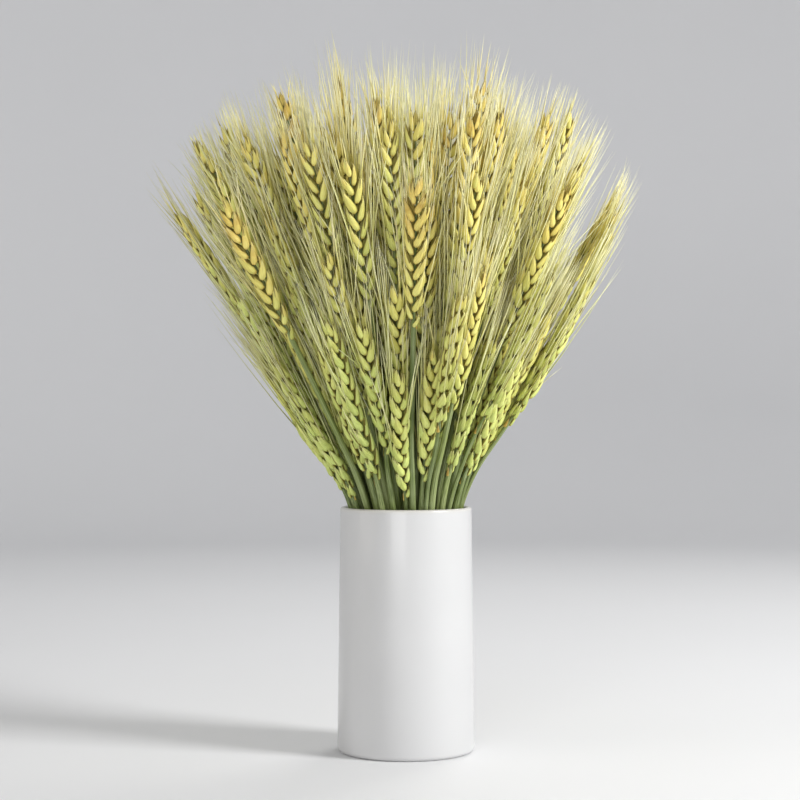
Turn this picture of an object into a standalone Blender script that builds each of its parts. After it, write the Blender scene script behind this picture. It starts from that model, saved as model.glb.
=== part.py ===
"""Dried wheat: a dense round bunch of bearded wheat standing in a plain ceramic vase.

Metres, +Z up. The vase stands on the origin and the front of the bunch is towards -Y.
Every stalk is a stem, an ear of staggered husks and a few long awns. Two neighbouring stalks
lean together at their cut feet, inside the vase, and are one solid there.
"""

import math

import bmesh
import bpy
import numpy as np
from mathutils import Vector

# The vase
VASE_HEIGHT = 0.1357
VASE_BASE_RADIUS = 0.0382
VASE_RIM_RADIUS = 0.0366
VASE_WALL = 0.0030
VASE_FLOOR = 0.0060
VASE_BASE_ROUNDING = 0.0024
VASE_SIDES = 36

# The bunch
STALK_COUNT = 112
SEED = 5
SEAT_SPACING = 0.174            # least distance of two stalks, as a share of the bunch's radius
STEM_RADIUS = 0.0019            # to the corners of the four-sided stem
RIM_GAP = 0.0003                # from the outermost stems to the lip, and from the feet to the floor
FOOT_HEIGHT = VASE_FLOOR + RIM_GAP
FOOT_SIDE = 0.0028
FOOT_BLOCK = 0.0026
WAIST_RADIUS = 0.0240           # where the bunch is drawn in, inside the vase
RIM_SLOPE = 0.30                # outward run of the outermost stems for each unit of height, at the rim
FAN_SLOPE = 0.66                # the same, well above the rim
FAN_LENGTH = 0.030              # height over which one slope turns into the other
FAN_APEX_DROP = 0.083           # above the rim the stems spread as if from this far below it
LEAN = -0.060                   # run of the whole bunch along X for each unit of height above the rim

# The ears
DOME_REACH = 0.243              # from the middle of the rim to the highest ear tips
SIDE_REACH = 0.214              # the same for the tips of the outermost ears
OUTER_SEATS = 0.86              # seats further out than this hold the outermost stalks
MIDDLE_SEATS = 0.62             # seats between the two hold the ring inside them
OUTER_SHARES = (1.0, 0.51, 0.74, 0.57, 0.95, 0.53, 0.66, 0.61)   # of the full reach, in turn round the bunch
MIDDLE_SHARES = (0.98, 0.74, 0.92, 0.64, 0.96, 0.84)
INNER_SHARES = (0.86, 1.0)
SHARE_DRAW = 0.03               # how far a share strays from its place in the pattern
LOW_SHARE = 0.58                # ears of a smaller share are short
EAR_LENGTHS = (0.080, 0.108)
LOW_EAR_LENGTHS = (0.074, 0.094)
BARE_STEM = 0.025               # least length of stem between the rim and an ear
EAR_CLEAR_RADIUS = 0.0058
HUSK_ROW_PITCH = 0.0175
RANK_HALF_WIDTH = 0.0036        # core of the ear, across its two ranks of husks
FACE_HALF_WIDTH = 0.0029        # core of the ear, from front to back
HUSK_OUT = (0.0050, 0.0036)     # tips of the husks, across the ranks and from front to back

# The awns
AWNS_A_STALK = 4
SHORT_STALK = 0.160             # stalks that rise less than this above the rim have an awn less
AWN_BASE = 0.00055
AWN_LENGTHS = (0.045, 0.088)
TIP_AWN_LENGTHS = (0.014, 0.030)
AWN_CLEARANCE = 0.0022
AWN_OWN_HUSK_ROOM = 0.0016
AWN_TOP_HEIGHT = 0.3967
AWN_BEYOND_SIDE = 0.015         # how far awn tips stand out of the cone of the outermost ears

LEVEL_STEP = 0.006
SETTLE_ROUNDS = 260
STEM_STEP = 0.050
SPACE = 0.0008                  # kept between neighbouring stalks


def clear_scene():
    for thing in list(bpy.data.objects):
        bpy.data.objects.remove(thing, do_unlink=True)


def make_collection(name):
    collection = bpy.data.collections.new(name)
    bpy.context.scene.collection.children.link(collection)
    return collection


def make_material(name, colour, roughness):
    material = bpy.data.materials.new(name)
    material.use_nodes = True
    shader = material.node_tree.nodes["Principled BSDF"]
    shader.inputs["Base Color"].default_value = (*colour, 1.0)
    shader.inputs["Roughness"].default_value = roughness
    shader.inputs["Metallic"].default_value = 0.0
    return material


def finish_object(name, mesh, collection, material):
    thing = bpy.data.objects.new(name, mesh)
    collection.objects.link(thing)
    mesh.materials.append(material)
    return thing


def make_vase(collection):
    """A turned cup: flat base, slightly tapered wall, rounded lip, flat floor inside."""
    lip_radius = VASE_WALL / 2
    lip_middle = VASE_RIM_RADIUS - lip_radius
    lip_height = VASE_HEIGHT - lip_radius
    inner_foot = VASE_BASE_RADIUS - VASE_WALL

    profile = [(0.0, VASE_FLOOR), (inner_foot - 0.003, VASE_FLOOR), (inner_foot, VASE_FLOOR + 0.003)]
    for step in range(4):
        angle = math.pi - step * math.pi / 3
        profile.append(
            (lip_middle + lip_radius * math.cos(angle), lip_height + lip_radius * math.sin(angle))
        )
    profile.append((VASE_BASE_RADIUS, VASE_BASE_ROUNDING))
    profile.append((VASE_BASE_RADIUS - 0.3 * VASE_BASE_ROUNDING, 0.3 * VASE_BASE_ROUNDING))
    profile.append((VASE_BASE_RADIUS - VASE_BASE_ROUNDING, 0.0))
    profile.append((0.0, 0.0))

    mesh = bpy.data.meshes.new("vase")
    build = bmesh.new()
    corners = [build.verts.new((radius, 0.0, height)) for radius, height in profile]
    for first, second in zip(corners, corners[1:]):
        build.edges.new((first, second))
    bmesh.ops.spin(
        build,
        geom=build.verts[:] + build.edges[:],
        cent=(0, 0, 0),
        axis=(0, 0, 1),
        angle=2 * math.pi,
        steps=VASE_SIDES,
        use_merge=True,
    )
    bmesh.ops.remove_doubles(build, verts=build.verts[:], dist=1e-6)
    bmesh.ops.recalc_face_normals(build, faces=build.faces[:])
    for face in build.faces:
        face.smooth = abs(face.normal.z) < 0.98
    build.to_mesh(mesh)
    build.free()
    white = make_material("vase_glaze", (0.84, 0.83, 0.80), 0.16)
    return finish_object("vase", mesh, collection, white)


def seat_points(random):
    """Places of the stalks in a unit disc: a sunflower spiral, shaken and evened out."""
    index = np.arange(STALK_COUNT) + 0.5
    radius = np.sqrt(index / STALK_COUNT)
    turn = index * math.pi * (3 - math.sqrt(5))
    points = np.stack([radius * np.cos(turn), radius * np.sin(turn)], axis=1)
    points += random.normal(0, 0.03, points.shape)
    for _ in range(120):
        apart = points[:, None] - points[None]
        distance = np.linalg.norm(apart, axis=2) + 9 * np.eye(STALK_COUNT)
        push = np.clip(SEAT_SPACING - distance, 0, None) / distance
        points += 0.4 * (apart * push[..., None]).sum(axis=1)
        points /= np.maximum(np.linalg.norm(points, axis=1), 1.0)[:, None]
    return points


def neighbour_pairs(points):
    """Pairs of near neighbours, by swapping partners while the squared distances shrink."""
    far = ((points[:, None] - points[None]) ** 2).sum(axis=2)
    order = np.argsort(np.arctan2(points[:, 1], points[:, 0]))
    pairs = [tuple(order[i : i + 2]) for i in range(0, STALK_COUNT, 2)]
    better = True
    while better:
        better = False
        for a in range(len(pairs)):
            for b in range(a + 1, len(pairs)):
                (p, q), (r, s) = pairs[a], pairs[b]
                for first, second in (((p, r), (q, s)), ((p, s), (q, r))):
                    if far[first] + far[second] < far[pairs[a]] + far[pairs[b]] - 1e-9:
                        pairs[a], pairs[b] = first, second
                        better = True
    return pairs


def bunch_radius(height):
    """Radius of the ring of outermost stems at a height: drawn in, then opening like a fan."""
    rim = VASE_RIM_RADIUS - VASE_WALL - RIM_GAP - STEM_RADIUS * 1.05
    drop = np.clip(VASE_HEIGHT - height, 0, None)
    rise = np.clip(height - VASE_HEIGHT, 0, None)
    bend = RIM_SLOPE**2 / (4 * (rim - WAIST_RADIUS))
    waist_drop = RIM_SLOPE / (2 * bend)
    below = np.where(
        drop < waist_drop,
        rim - RIM_SLOPE * drop + bend * drop**2,
        WAIST_RADIUS + 0.4 * (drop - waist_drop) ** 2,
    )
    easing = (FAN_SLOPE - RIM_SLOPE) * FAN_LENGTH * (1 - np.exp(-rise / FAN_LENGTH))
    return np.where(height < VASE_HEIGHT, below, rim + FAN_SLOPE * rise - easing)


def dome_reach(places):
    """Reach of the longest ears in the direction of each place, seen from the middle of the rim."""
    lean = np.degrees(np.arctan2(np.linalg.norm(places[:, :2], axis=1), places[:, 2] - VASE_HEIGHT))
    ease = np.clip((lean - 23) / 14, 0, 1)
    return DOME_REACH - (DOME_REACH - SIDE_REACH) * ease * ease * (3 - 2 * ease)


def choose_reaches(points, random):
    """How far each ear's tip is from the middle of the rim, and how long the ear is."""
    outward = np.linalg.norm(points, axis=1)
    high = np.full(STALK_COUNT, VASE_HEIGHT + 0.18)
    full = dome_reach(np.column_stack([points * bunch_radius(high)[:, None], high]))
    share = random.uniform(*INNER_SHARES, STALK_COUNT)

    around = np.argsort(np.arctan2(points[:, 1], points[:, 0]))
    outer = [i for i in around if outward[i] > OUTER_SEATS]
    middle = [i for i in around if MIDDLE_SEATS < outward[i] <= OUTER_SEATS]
    for ring, shares in ((outer, OUTER_SHARES), (middle, MIDDLE_SHARES)):
        for place, i in enumerate(ring):
            share[i] = shares[place % len(shares)] + random.uniform(-SHARE_DRAW, SHARE_DRAW)

    low = share < LOW_SHARE
    lengths = np.where(
        low,
        random.uniform(*LOW_EAR_LENGTHS, STALK_COUNT),
        random.uniform(*EAR_LENGTHS, STALK_COUNT),
    )
    reaches = full * np.minimum(share, 1.0)
    return reaches, np.minimum(lengths, reaches - BARE_STEM)


def ear_clear_radius(from_tip, length):
    """Room that a stalk needs, at a distance below its ear's tip."""
    along = from_tip / length
    swell = np.interp(along, [0.0, 0.12, 0.3, 0.85, 1.0], [0.35, 0.8, 1.0, 1.0, 0.45])
    room = np.where(along <= 1.0, EAR_CLEAR_RADIUS * swell, STEM_RADIUS)
    return np.where(from_tip < 0, 0.0, room)


def settle_stalks(points, reaches, lengths):
    """Paths of the stalks above the rim, pushed apart level by level until the ears have room."""
    levels = np.arange(VASE_HEIGHT, VASE_HEIGHT + DOME_REACH + 0.05, LEVEL_STEP)
    radius = bunch_radius(levels)
    lean_out = 1 + 0.16 * np.clip(0.68 - reaches / SIDE_REACH, 0, 1)
    rise = (levels - VASE_HEIGHT) / (levels[-1] - VASE_HEIGHT)
    nominal = points[:, None, :] * radius[None, :, None]
    nominal = nominal * (1 + (lean_out[:, None] - 1) * np.minimum(rise * 3, 1))[..., None]
    nominal[..., 0] += LEAN * (levels - VASE_HEIGHT)

    shift = np.zeros_like(nominal)
    ramp = np.minimum(rise * 8, 1)[None, :, None]
    for _ in range(SETTLE_ROUNDS):
        places = nominal + shift
        full = np.concatenate([places, np.broadcast_to(levels[None, :, None], places.shape[:2] + (1,))], axis=2)
        steps = np.linalg.norm(np.diff(full, axis=1), axis=2)
        climbed = np.concatenate([np.zeros((STALK_COUNT, 1)), np.cumsum(steps, axis=1)], axis=1)
        out = np.linalg.norm(full - np.array([0, 0, VASE_HEIGHT]), axis=2)
        total = np.array([np.interp(reaches[i], out[i], climbed[i]) for i in range(STALK_COUNT)])
        room = ear_clear_radius(total[:, None] - climbed, lengths[:, None])

        apart = places[:, None] - places[None]
        distance = np.linalg.norm(apart, axis=3) + 9 * np.eye(STALK_COUNT)[..., None]
        tilt = 1 + 0.5 * (np.linalg.norm(places, axis=2) / (levels - VASE_HEIGHT + FAN_APEX_DROP)) ** 2
        need = (room * tilt)[:, None] + (room * tilt)[None] + SPACE
        both = (room[:, None] > 0) & (room[None] > 0)
        push = np.where(both, np.clip(need - distance, 0, None), 0) / distance
        shift += 0.35 * (apart * push[..., None]).sum(axis=1)
        smooth = shift.copy()
        smooth[:, 1:-1] += 0.25 * (shift[:, :-2] + shift[:, 2:] - 2 * shift[:, 1:-1])
        shift = smooth * ramp
    return full, climbed, total, room


class Stalk:
    """One stalk's path, from its cut foot to the tip of its ear.

    Its ear's two ranks lie across the way out of the bunch, so its flat face shows from outside.
    """

    def __init__(self, foot, waist, path, climbed, total, ear_length, turn, swap):
        self.foot = foot
        self.waist = waist
        self.path = path
        self.climbed = climbed
        self.total = total
        self.ear_length = ear_length
        self.turn = turn
        self.swap = swap

    def point(self, distance):
        return Vector([float(np.interp(distance, self.climbed, self.path[:, axis])) for axis in range(3)])

    def frame(self, distance):
        """Point, two directions across the stalk and the direction along it."""
        ahead = self.point(distance + 0.004)
        behind = self.point(distance - 0.004) if distance > 0.004 else self.point(0)
        along = (ahead - behind).normalized()
        side = Vector((1, 0, 0)) - along * along.x
        side.normalize()
        return self.point(distance), side, along.cross(side), along


def ring_corners(stalk, distance, wide, deep, rises=(0, 0, 0, 0)):
    """Four corners of a section: two across the ranks of the ear and two across its faces."""
    middle, side, up, along = stalk.frame(distance)
    sizes = (deep, wide, deep, wide) if stalk.swap else (wide, deep, wide, deep)
    corners = []
    for corner in range(4):
        angle = stalk.turn + math.pi / 4 + corner * math.pi / 2
        ray = side * math.cos(angle) + up * math.sin(angle)
        corners.append(middle + ray * sizes[corner] + along * rises[corner])
    return corners


def extrude_to(build, face, order, corners):
    """Extrudes a four-sided face to new corners. Returns the new face and its corners in order."""
    before = [vert.co.copy() for vert in order]
    new_face = bmesh.ops.extrude_discrete_faces(build, faces=[face])["faces"][0]
    new_order = [min(new_face.verts, key=lambda vert: (vert.co - spot).length) for spot in before]
    for vert, spot in zip(new_order, corners):
        vert.co = spot
    return new_face, new_order


def grow_stem(build, stalk, face, order):
    """Extrudes the stem from its foot to the base of its ear."""
    flat = [Vector(corner) for corner in stalk.waist]
    face, order = extrude_to(build, face, order, flat)
    bare = stalk.total - stalk.ear_length
    count = max(1, round(bare / STEM_STEP))
    for step in range(count + 1):
        distance = bare * (step / count) ** 1.5
        corners = ring_corners(stalk, distance, STEM_RADIUS, STEM_RADIUS)
        face, order = extrude_to(build, face, order, corners)
    return face, order


def grow_ear(build, stalk, face, order):
    """Extrudes the core of the ear and raises a husk on each of its side faces."""
    rows = max(3, round(stalk.ear_length / HUSK_ROW_PITCH))
    pitch = stalk.ear_length / rows
    base = stalk.total - stalk.ear_length
    first_rank = 1 if stalk.swap else 0
    cells = []
    for row in range(rows):
        high = (row + 1) / rows
        swell = float(np.interp(high, [0.0, 0.2, 0.75, 0.9, 1.0], [0.6, 1.0, 0.98, 0.8, 0.30]))
        rises = [0.0] * 4
        if row < rows - 1:
            rises[first_rank] = -0.2 * pitch
            rises[first_rank + 2] = 0.2 * pitch
        corners = ring_corners(
            stalk, base + (row + 1) * pitch, RANK_HALF_WIDTH * swell, FACE_HALF_WIDTH * swell, rises
        )
        old = order
        face, order = extrude_to(build, face, order, corners)
        for corner in range(4):
            nxt = (corner + 1) % 4
            cell = build.faces.get([old[corner], old[nxt], order[nxt], order[corner]])
            cells.append((row, corner, cell, swell))

    husks = []
    for row, corner, cell, swell in cells:
        rank_corner = corner if (corner - first_rank) % 2 == 0 else (corner + 1) % 4
        late = 0.15 if (rank_corner - first_rank) % 4 == 2 else -0.10
        middle, side, up, along = stalk.frame(base + (row + 0.62 + late) * pitch)
        angle = stalk.turn + math.pi / 2 + corner * math.pi / 2
        toward = stalk.turn + math.pi / 4 + rank_corner * math.pi / 2
        rank_ray = side * math.cos(toward) + up * math.sin(toward)
        ray = side * math.cos(angle) + up * math.sin(angle)
        face_ray = ray - rank_ray * ray.dot(rank_ray)
        face_ray.normalize()
        grown = 0.66 if row == rows - 1 else (0.80 if row == 0 else 1.0)
        made = bmesh.ops.poke(build, faces=[cell])
        tip = made["verts"][0]
        tip.co = middle + (rank_ray * HUSK_OUT[0] + face_ray * HUSK_OUT[1]) * grown
        top = max(made["faces"], key=lambda f: f.calc_center_median().dot(along))
        husks.append((row, corner, tip, top, along, (tip.co - middle).normalized()))
    return face, husks, rows


def awn_is_clear(start, tips, spots, rooms):
    """Least clearance of each candidate awn from the spots, less the room that each spot needs."""
    line = tips - start
    length = np.linalg.norm(line, axis=1)
    ray = line / length[:, None]
    offset = spots[None] - start
    reach = np.clip((offset[..., 0] * ray[:, None, 0] + offset[..., 1] * ray[:, None, 1]
                     + offset[..., 2] * ray[:, None, 2]), 0.0, length[:, None])
    nearest = start + ray[:, None] * reach[..., None]
    return (np.linalg.norm(spots[None] - nearest, axis=2) - rooms[None]).min(axis=1)


def grow_awns(build, number, face, husks, rows, stalk, crowd, random):
    """A needle on the tip of the ear and on a few husks, turned to where there is room."""
    middle, side, up, along = stalk.frame(stalk.total)
    start = np.array(middle)
    own = np.array([husk[2].co for husk in husks])
    lengths = random.uniform(*TIP_AWN_LENGTHS, 24)
    sway = random.normal(0, 0.07, (24, 2))
    rays = np.array(along) + sway[:, :1] * np.array(side) + sway[:, 1:] * np.array(up)
    rays /= np.linalg.norm(rays, axis=1)[:, None]
    tip = crowd.place(number, start, start + rays * lengths[:, None], own[:0])
    made = bmesh.ops.poke(build, faces=[face])
    made["verts"][0].co = Vector(tip) if tip is not None else middle + along * 0.006

    chosen = [husk for husk in husks if husk[0] >= 1]
    random.shuffle(chosen)
    wanted = AWNS_A_STALK - (1 if stalk.total < SHORT_STALK else 0)
    grown = 0
    used = set()
    for row, corner, tip_vert, facet, along, outward in chosen:
        if grown == wanted:
            break
        if row in used:
            continue
        corners = [vert.co.copy() for vert in facet.verts]
        heart = sum(corners, Vector()) / 3
        foot = heart.lerp(tip_vert.co, 0.40)
        others = own[[i for i, husk in enumerate(husks) if husk[0] > row]]
        lengths = random.uniform(*AWN_LENGTHS, 60)
        tilt = random.uniform(math.tan(math.radians(5)), math.tan(math.radians(17)), 60)
        cross = along.cross(outward)
        drift = random.normal(0, 0.35, 60)
        rays = (
            np.array(along)
            + tilt[:, None] * (np.array(outward) + drift[:, None] * np.array(cross))
        )
        rays /= np.linalg.norm(rays, axis=1)[:, None]
        begin = np.array(foot)
        tip = crowd.place(number, begin, begin + rays * lengths[:, None], others)
        if tip is None:
            continue
        bmesh.ops.inset_individual(build, faces=[facet], thickness=1e-4)
        for vert in facet.verts:
            nearest = min(corners, key=lambda spot: (spot - vert.co).length)
            vert.co = foot + (nearest - foot).normalized() * AWN_BASE
        made = bmesh.ops.poke(build, faces=[facet])
        made["verts"][0].co = Vector(tip)
        used.add(row)
        grown += 1
    return grown


class Crowd:
    """Where the stalks and the awns placed so far are."""

    def __init__(self, paths, rooms):
        keep = rooms > 0
        self.spots = paths[keep]
        self.rooms = rooms[keep]
        self.owner = np.repeat(np.arange(len(paths)), paths.shape[1]).reshape(rooms.shape)[keep]
        self.awn_spots = np.zeros((0, 3))

    def place(self, number, start, tips, own_husks):
        """The tip of the longest candidate awn that crosses nothing, or None where none is free."""
        outward = np.linalg.norm(tips[:, :2], axis=1)
        inside = (tips[:, 2] < AWN_TOP_HEIGHT) & (outward < bunch_radius(tips[:, 2]) + AWN_BEYOND_SIDE)
        inside &= np.linalg.norm(tips - np.array([0, 0, VASE_HEIGHT]), axis=1) < dome_reach(tips) + 0.024
        near = np.linalg.norm(self.spots - start, axis=1) < 0.11
        near &= self.owner != number
        clear = awn_is_clear(start, tips, self.spots[near], self.rooms[near] + 0.0008)
        if len(self.awn_spots):
            close = self.awn_spots[np.linalg.norm(self.awn_spots - start, axis=1) < 0.16]
            if len(close):
                clear = np.minimum(clear, awn_is_clear(start, tips, close, np.full(len(close), AWN_CLEARANCE)))
        if len(own_husks):
            rooms = np.full(len(own_husks), AWN_OWN_HUSK_ROOM)
            clear = np.minimum(clear, awn_is_clear(start, tips, own_husks, rooms))
        length = np.linalg.norm(tips - start, axis=1)
        score = np.where((clear > 0) & inside, length, -1)
        best = int(np.argmax(score))
        if score[best] < 0:
            return None
        steps = np.linspace(0.0, 1.0, max(2, int(length[best] / 0.003)))[:, None]
        self.awn_spots = np.concatenate([self.awn_spots, start + (tips[best] - start) * steps])
        return tips[best]


def make_pair(name, pair, stalks, crowd, random, collection, material):
    """Two stalks grown from one small foot block on the floor of the vase."""
    first, second = (stalks[i] for i in pair)
    middle = (Vector(first.foot) + Vector(second.foot)) / 2
    along = (Vector(second.foot) - Vector(first.foot)).normalized()
    across = Vector((0, 0, 1)).cross(along)

    build = bmesh.new()
    bmesh.ops.create_cube(build, size=1.0)
    for vert in build.verts:
        x, y, z = vert.co
        vert.co = middle + along * (2 * x * FOOT_SIDE) + across * (y * FOOT_SIDE)
        vert.co.z = FOOT_HEIGHT + (z + 0.5) * FOOT_BLOCK
    bmesh.ops.bisect_plane(
        build,
        geom=build.verts[:] + build.edges[:] + build.faces[:],
        plane_co=middle,
        plane_no=along,
    )
    build.normal_update()
    tops = [face for face in build.faces if face.normal.z > 0.9]
    tops.sort(key=lambda face: face.calc_center_median().dot(along))

    awns = 0
    for number, stalk, face in zip(pair, (first, second), tops):
        heart = face.calc_center_median()
        order = []
        for corner in range(4):
            angle = math.pi / 4 + corner * math.pi / 2
            ray = along * math.cos(angle) + across * math.sin(angle)
            order.append(max(face.verts, key=lambda vert: (vert.co - heart).dot(ray)))
        face, order = grow_stem(build, stalk, face, order)
        face, husks, rows = grow_ear(build, stalk, face, order)
        awns += grow_awns(build, number, face, husks, rows, stalk, crowd, random)

    mesh = bpy.data.meshes.new(name)
    build.to_mesh(mesh)
    build.free()
    return finish_object(name, mesh, collection, material), awns


def make_stalks(random):
    points = seat_points(random)
    pairs = neighbour_pairs(points)
    reaches, lengths = choose_reaches(points, random)
    paths, climbed, totals, rooms = settle_stalks(points, reaches, lengths)

    waist_height = VASE_HEIGHT - 2 * (bunch_radius(VASE_HEIGHT) - WAIST_RADIUS) / RIM_SLOPE
    stalks = [None] * STALK_COUNT
    for pair in pairs:
        gap = points[pair[1]] - points[pair[0]]
        bearing = math.atan2(gap[1], gap[0])
        foot_middle = (points[pair[0]] + points[pair[1]]) / 2 * bunch_radius(FOOT_HEIGHT)
        for sign, i in zip((-0.5, 0.5), pair):
            foot = (
                foot_middle[0] + sign * FOOT_SIDE * math.cos(bearing),
                foot_middle[1] + sign * FOOT_SIDE * math.sin(bearing),
                FOOT_HEIGHT,
            )
            seat = points[i] * bunch_radius(waist_height)
            wanted = math.atan2(points[i][1], points[i][0]) + math.pi / 4 + random.normal(0, 0.45)
            twist = (wanted - bearing + math.pi / 4) % (math.pi / 2) - math.pi / 4
            quarters = round((wanted - bearing - twist) / (math.pi / 2))
            waist = []
            for corner in range(4):
                angle = bearing + twist * 0.4 + math.pi / 4 + corner * math.pi / 2
                waist.append(
                    (
                        seat[0] + STEM_RADIUS * math.cos(angle),
                        seat[1] + STEM_RADIUS * math.sin(angle),
                        float(waist_height),
                    )
                )
            stalks[i] = Stalk(
                foot,
                waist,
                paths[i],
                climbed[i],
                totals[i],
                lengths[i],
                bearing + twist,
                quarters % 2 == 1,
            )
    return stalks, pairs, Crowd(paths, rooms)


def main():
    clear_scene()
    random = np.random.default_rng(SEED)
    collection = make_collection("dried_wheat")
    make_vase(collection)
    stalks, pairs, crowd = make_stalks(random)
    total_awns = 0
    for place, pair in enumerate(pairs):
        name = f"wheat_stalks_{place + 1:02d}"
        ripe = random.uniform(0, 1)
        colour = (0.46 + 0.14 * ripe, 0.49 + 0.02 * ripe, 0.16 - 0.02 * ripe)
        material = make_material(name + "_straw", colour, 0.55)
        _, awns = make_pair(name, pair, stalks, crowd, random, collection, material)
        total_awns += awns
    triangles = 0
    for thing in collection.objects:
        thing.data.calc_loop_triangles()
        triangles += len(thing.data.loop_triangles)
    print("objects", len(collection.objects), "triangles", triangles, "awns", total_awns)


main()
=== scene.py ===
# %% [markdown]
# # A bunch of dried wheat in a white vase
#
# The real thing is a thick round bunch of bearded wheat. It was cut while still half green, dried hanging,
# and stood in a plain glazed vase that fills to the rim with stems. The CAD frame already holds the vase and
# 56 pairs of stalks as coarse solids. This lesson keeps each stalk where the frame has it, and gives it what
# the eye looks for: a plait of plump husks, hair-fine awns, and a round waxy stem.

import math

import bmesh
import bpy
import numpy as np
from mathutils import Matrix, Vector


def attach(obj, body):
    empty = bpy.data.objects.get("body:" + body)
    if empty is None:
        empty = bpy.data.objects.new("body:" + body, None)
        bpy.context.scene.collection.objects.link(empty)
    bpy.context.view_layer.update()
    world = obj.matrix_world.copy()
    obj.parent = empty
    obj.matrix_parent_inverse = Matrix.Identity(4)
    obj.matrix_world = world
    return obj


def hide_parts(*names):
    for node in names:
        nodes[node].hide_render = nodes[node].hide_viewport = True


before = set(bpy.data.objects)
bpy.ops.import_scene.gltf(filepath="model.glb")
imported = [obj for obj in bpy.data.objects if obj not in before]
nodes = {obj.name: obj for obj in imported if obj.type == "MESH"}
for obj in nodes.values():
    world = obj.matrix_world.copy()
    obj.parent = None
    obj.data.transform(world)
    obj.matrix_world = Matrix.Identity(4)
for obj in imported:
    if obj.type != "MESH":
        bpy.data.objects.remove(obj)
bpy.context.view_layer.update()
print("CAD nodes:", len(nodes))

# %% [markdown]
# ## Working in edit mode from a script
#
# An operator works on what is selected, and the frame's nodes come in selected. So everything is deselected
# first, and then the vertices, edges or faces that the next step needs are picked by their place or normal.


# %% Helpers that select
def deselect_all():
    """Leaves nothing selected, in object mode."""
    if bpy.context.mode != "OBJECT":
        bpy.ops.object.mode_set(mode="OBJECT")
    bpy.ops.object.select_all(action="DESELECT")


def pick(thing, kind, test):
    """In edit mode, selects the vertices, edges or faces that pass the test, and counts them."""
    bpy.ops.mesh.select_mode(type=kind)
    bpy.ops.mesh.select_all(action="DESELECT")
    grid = bmesh.from_edit_mesh(thing.data)
    grid.normal_update()
    items = {"VERT": grid.verts, "EDGE": grid.edges, "FACE": grid.faces}[kind]
    picked = [item for item in items if test(item)]
    for item in picked:
        item.select_set(True)
    grid.select_flush_mode()
    bmesh.update_edit_mesh(thing.data)
    return len(picked)


def rings_at(radius, height):
    """A test for the edges of one level ring."""

    def test(edge):
        reaches = [math.hypot(vert.co.x, vert.co.y) for vert in edge.verts]
        heights = [vert.co.z for vert in edge.verts]
        level = all(abs(h - height) < 1e-5 for h in heights)
        return level and all(abs(reach - radius) < 2e-5 for reach in reaches)

    return test


# %% [markdown]
# ## The vase
#
# The real vase is slip-cast: liquid clay sets against a plaster mould, which leaves an even wall, a slight
# taper and a soft lip, and the glaze rounds every edge a little more. It could be spun from a profile, but a
# cylinder that is tapered, hollowed by an inset and an extrude, and bevelled where the glaze rounds it takes
# few steps and keeps its rings even.

# %% Hollow and round the vase
VASE_HEIGHT = 0.1357
VASE_BASE_RADIUS = 0.0382
VASE_RIM_RADIUS = 0.0366
VASE_WALL = 0.0030
VASE_FLOOR = 0.0060

deselect_all()
bpy.ops.mesh.primitive_cylinder_add(
    vertices=96, radius=VASE_BASE_RADIUS, depth=VASE_HEIGHT, location=(0, 0, VASE_HEIGHT / 2)
)
vase = bpy.context.object
vase.name = "vase_cast"
bpy.ops.object.transform_apply(location=True, rotation=True, scale=True)
bpy.ops.object.mode_set(mode="EDIT")

pick(vase, "FACE", lambda face: face.normal.z > 0.9)
taper = VASE_RIM_RADIUS / VASE_BASE_RADIUS
bpy.ops.transform.resize(value=(taper, taper, 1), center_override=(0, 0, VASE_HEIGHT))
bpy.ops.mesh.inset(thickness=VASE_WALL)
bpy.ops.mesh.extrude_region_move(TRANSFORM_OT_translate={"value": (0, 0, VASE_FLOOR - VASE_HEIGHT)})
wider = (VASE_BASE_RADIUS - VASE_WALL) / (VASE_RIM_RADIUS - VASE_WALL)
bpy.ops.transform.resize(value=(wider, wider, 1), center_override=(0, 0, VASE_FLOOR))

# The lip, the corner of the floor inside, and the foot
lip = pick(vase, "EDGE", rings_at(VASE_RIM_RADIUS, VASE_HEIGHT))
bpy.ops.mesh.bevel(offset=0.0014, segments=5, profile=0.5, affect="EDGES")
lip += pick(vase, "EDGE", rings_at(VASE_RIM_RADIUS - VASE_WALL, VASE_HEIGHT))
bpy.ops.mesh.bevel(offset=0.0014, segments=5, profile=0.5, affect="EDGES")
pick(vase, "EDGE", rings_at(VASE_BASE_RADIUS - VASE_WALL, VASE_FLOOR))
bpy.ops.mesh.bevel(offset=0.0030, segments=4, profile=0.5, affect="EDGES")
foot = pick(vase, "EDGE", rings_at(VASE_BASE_RADIUS, 0))
bpy.ops.mesh.bevel(offset=0.0026, segments=6, profile=0.5, affect="EDGES")

# A shallow hollow under the vase leaves a foot ring, as on most cast pots
pick(vase, "FACE", lambda face: len(face.verts) > 4 and face.normal.z < -0.99)
bpy.ops.mesh.inset(thickness=0.0040)
bpy.ops.mesh.inset(thickness=0.0010)
bpy.ops.transform.translate(value=(0, 0, 0.0010))

bpy.ops.object.mode_set(mode="OBJECT")
bpy.ops.object.shade_smooth_by_angle(angle=math.radians(40))
print("Vase faces:", len(vase.data.polygons), "lip edges:", lip, "foot edges:", foot)

# %% [markdown]
# ## Where the stalks run
#
# A bunch stays round because each stem keeps its neighbours at a distance: drawn in inside the vase, side by
# side at the rim, and fanned out above it. The frame laid its stalks out with a recipe: seats on a sunflower
# spiral, the same pattern widened at each height so that no stems cross, and a push between neighbours until
# the ears have room. The same recipe with the same seed runs again here, so that each fine stalk grows along
# its own solid. Drawing 112 curves by hand would never match as well.

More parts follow.
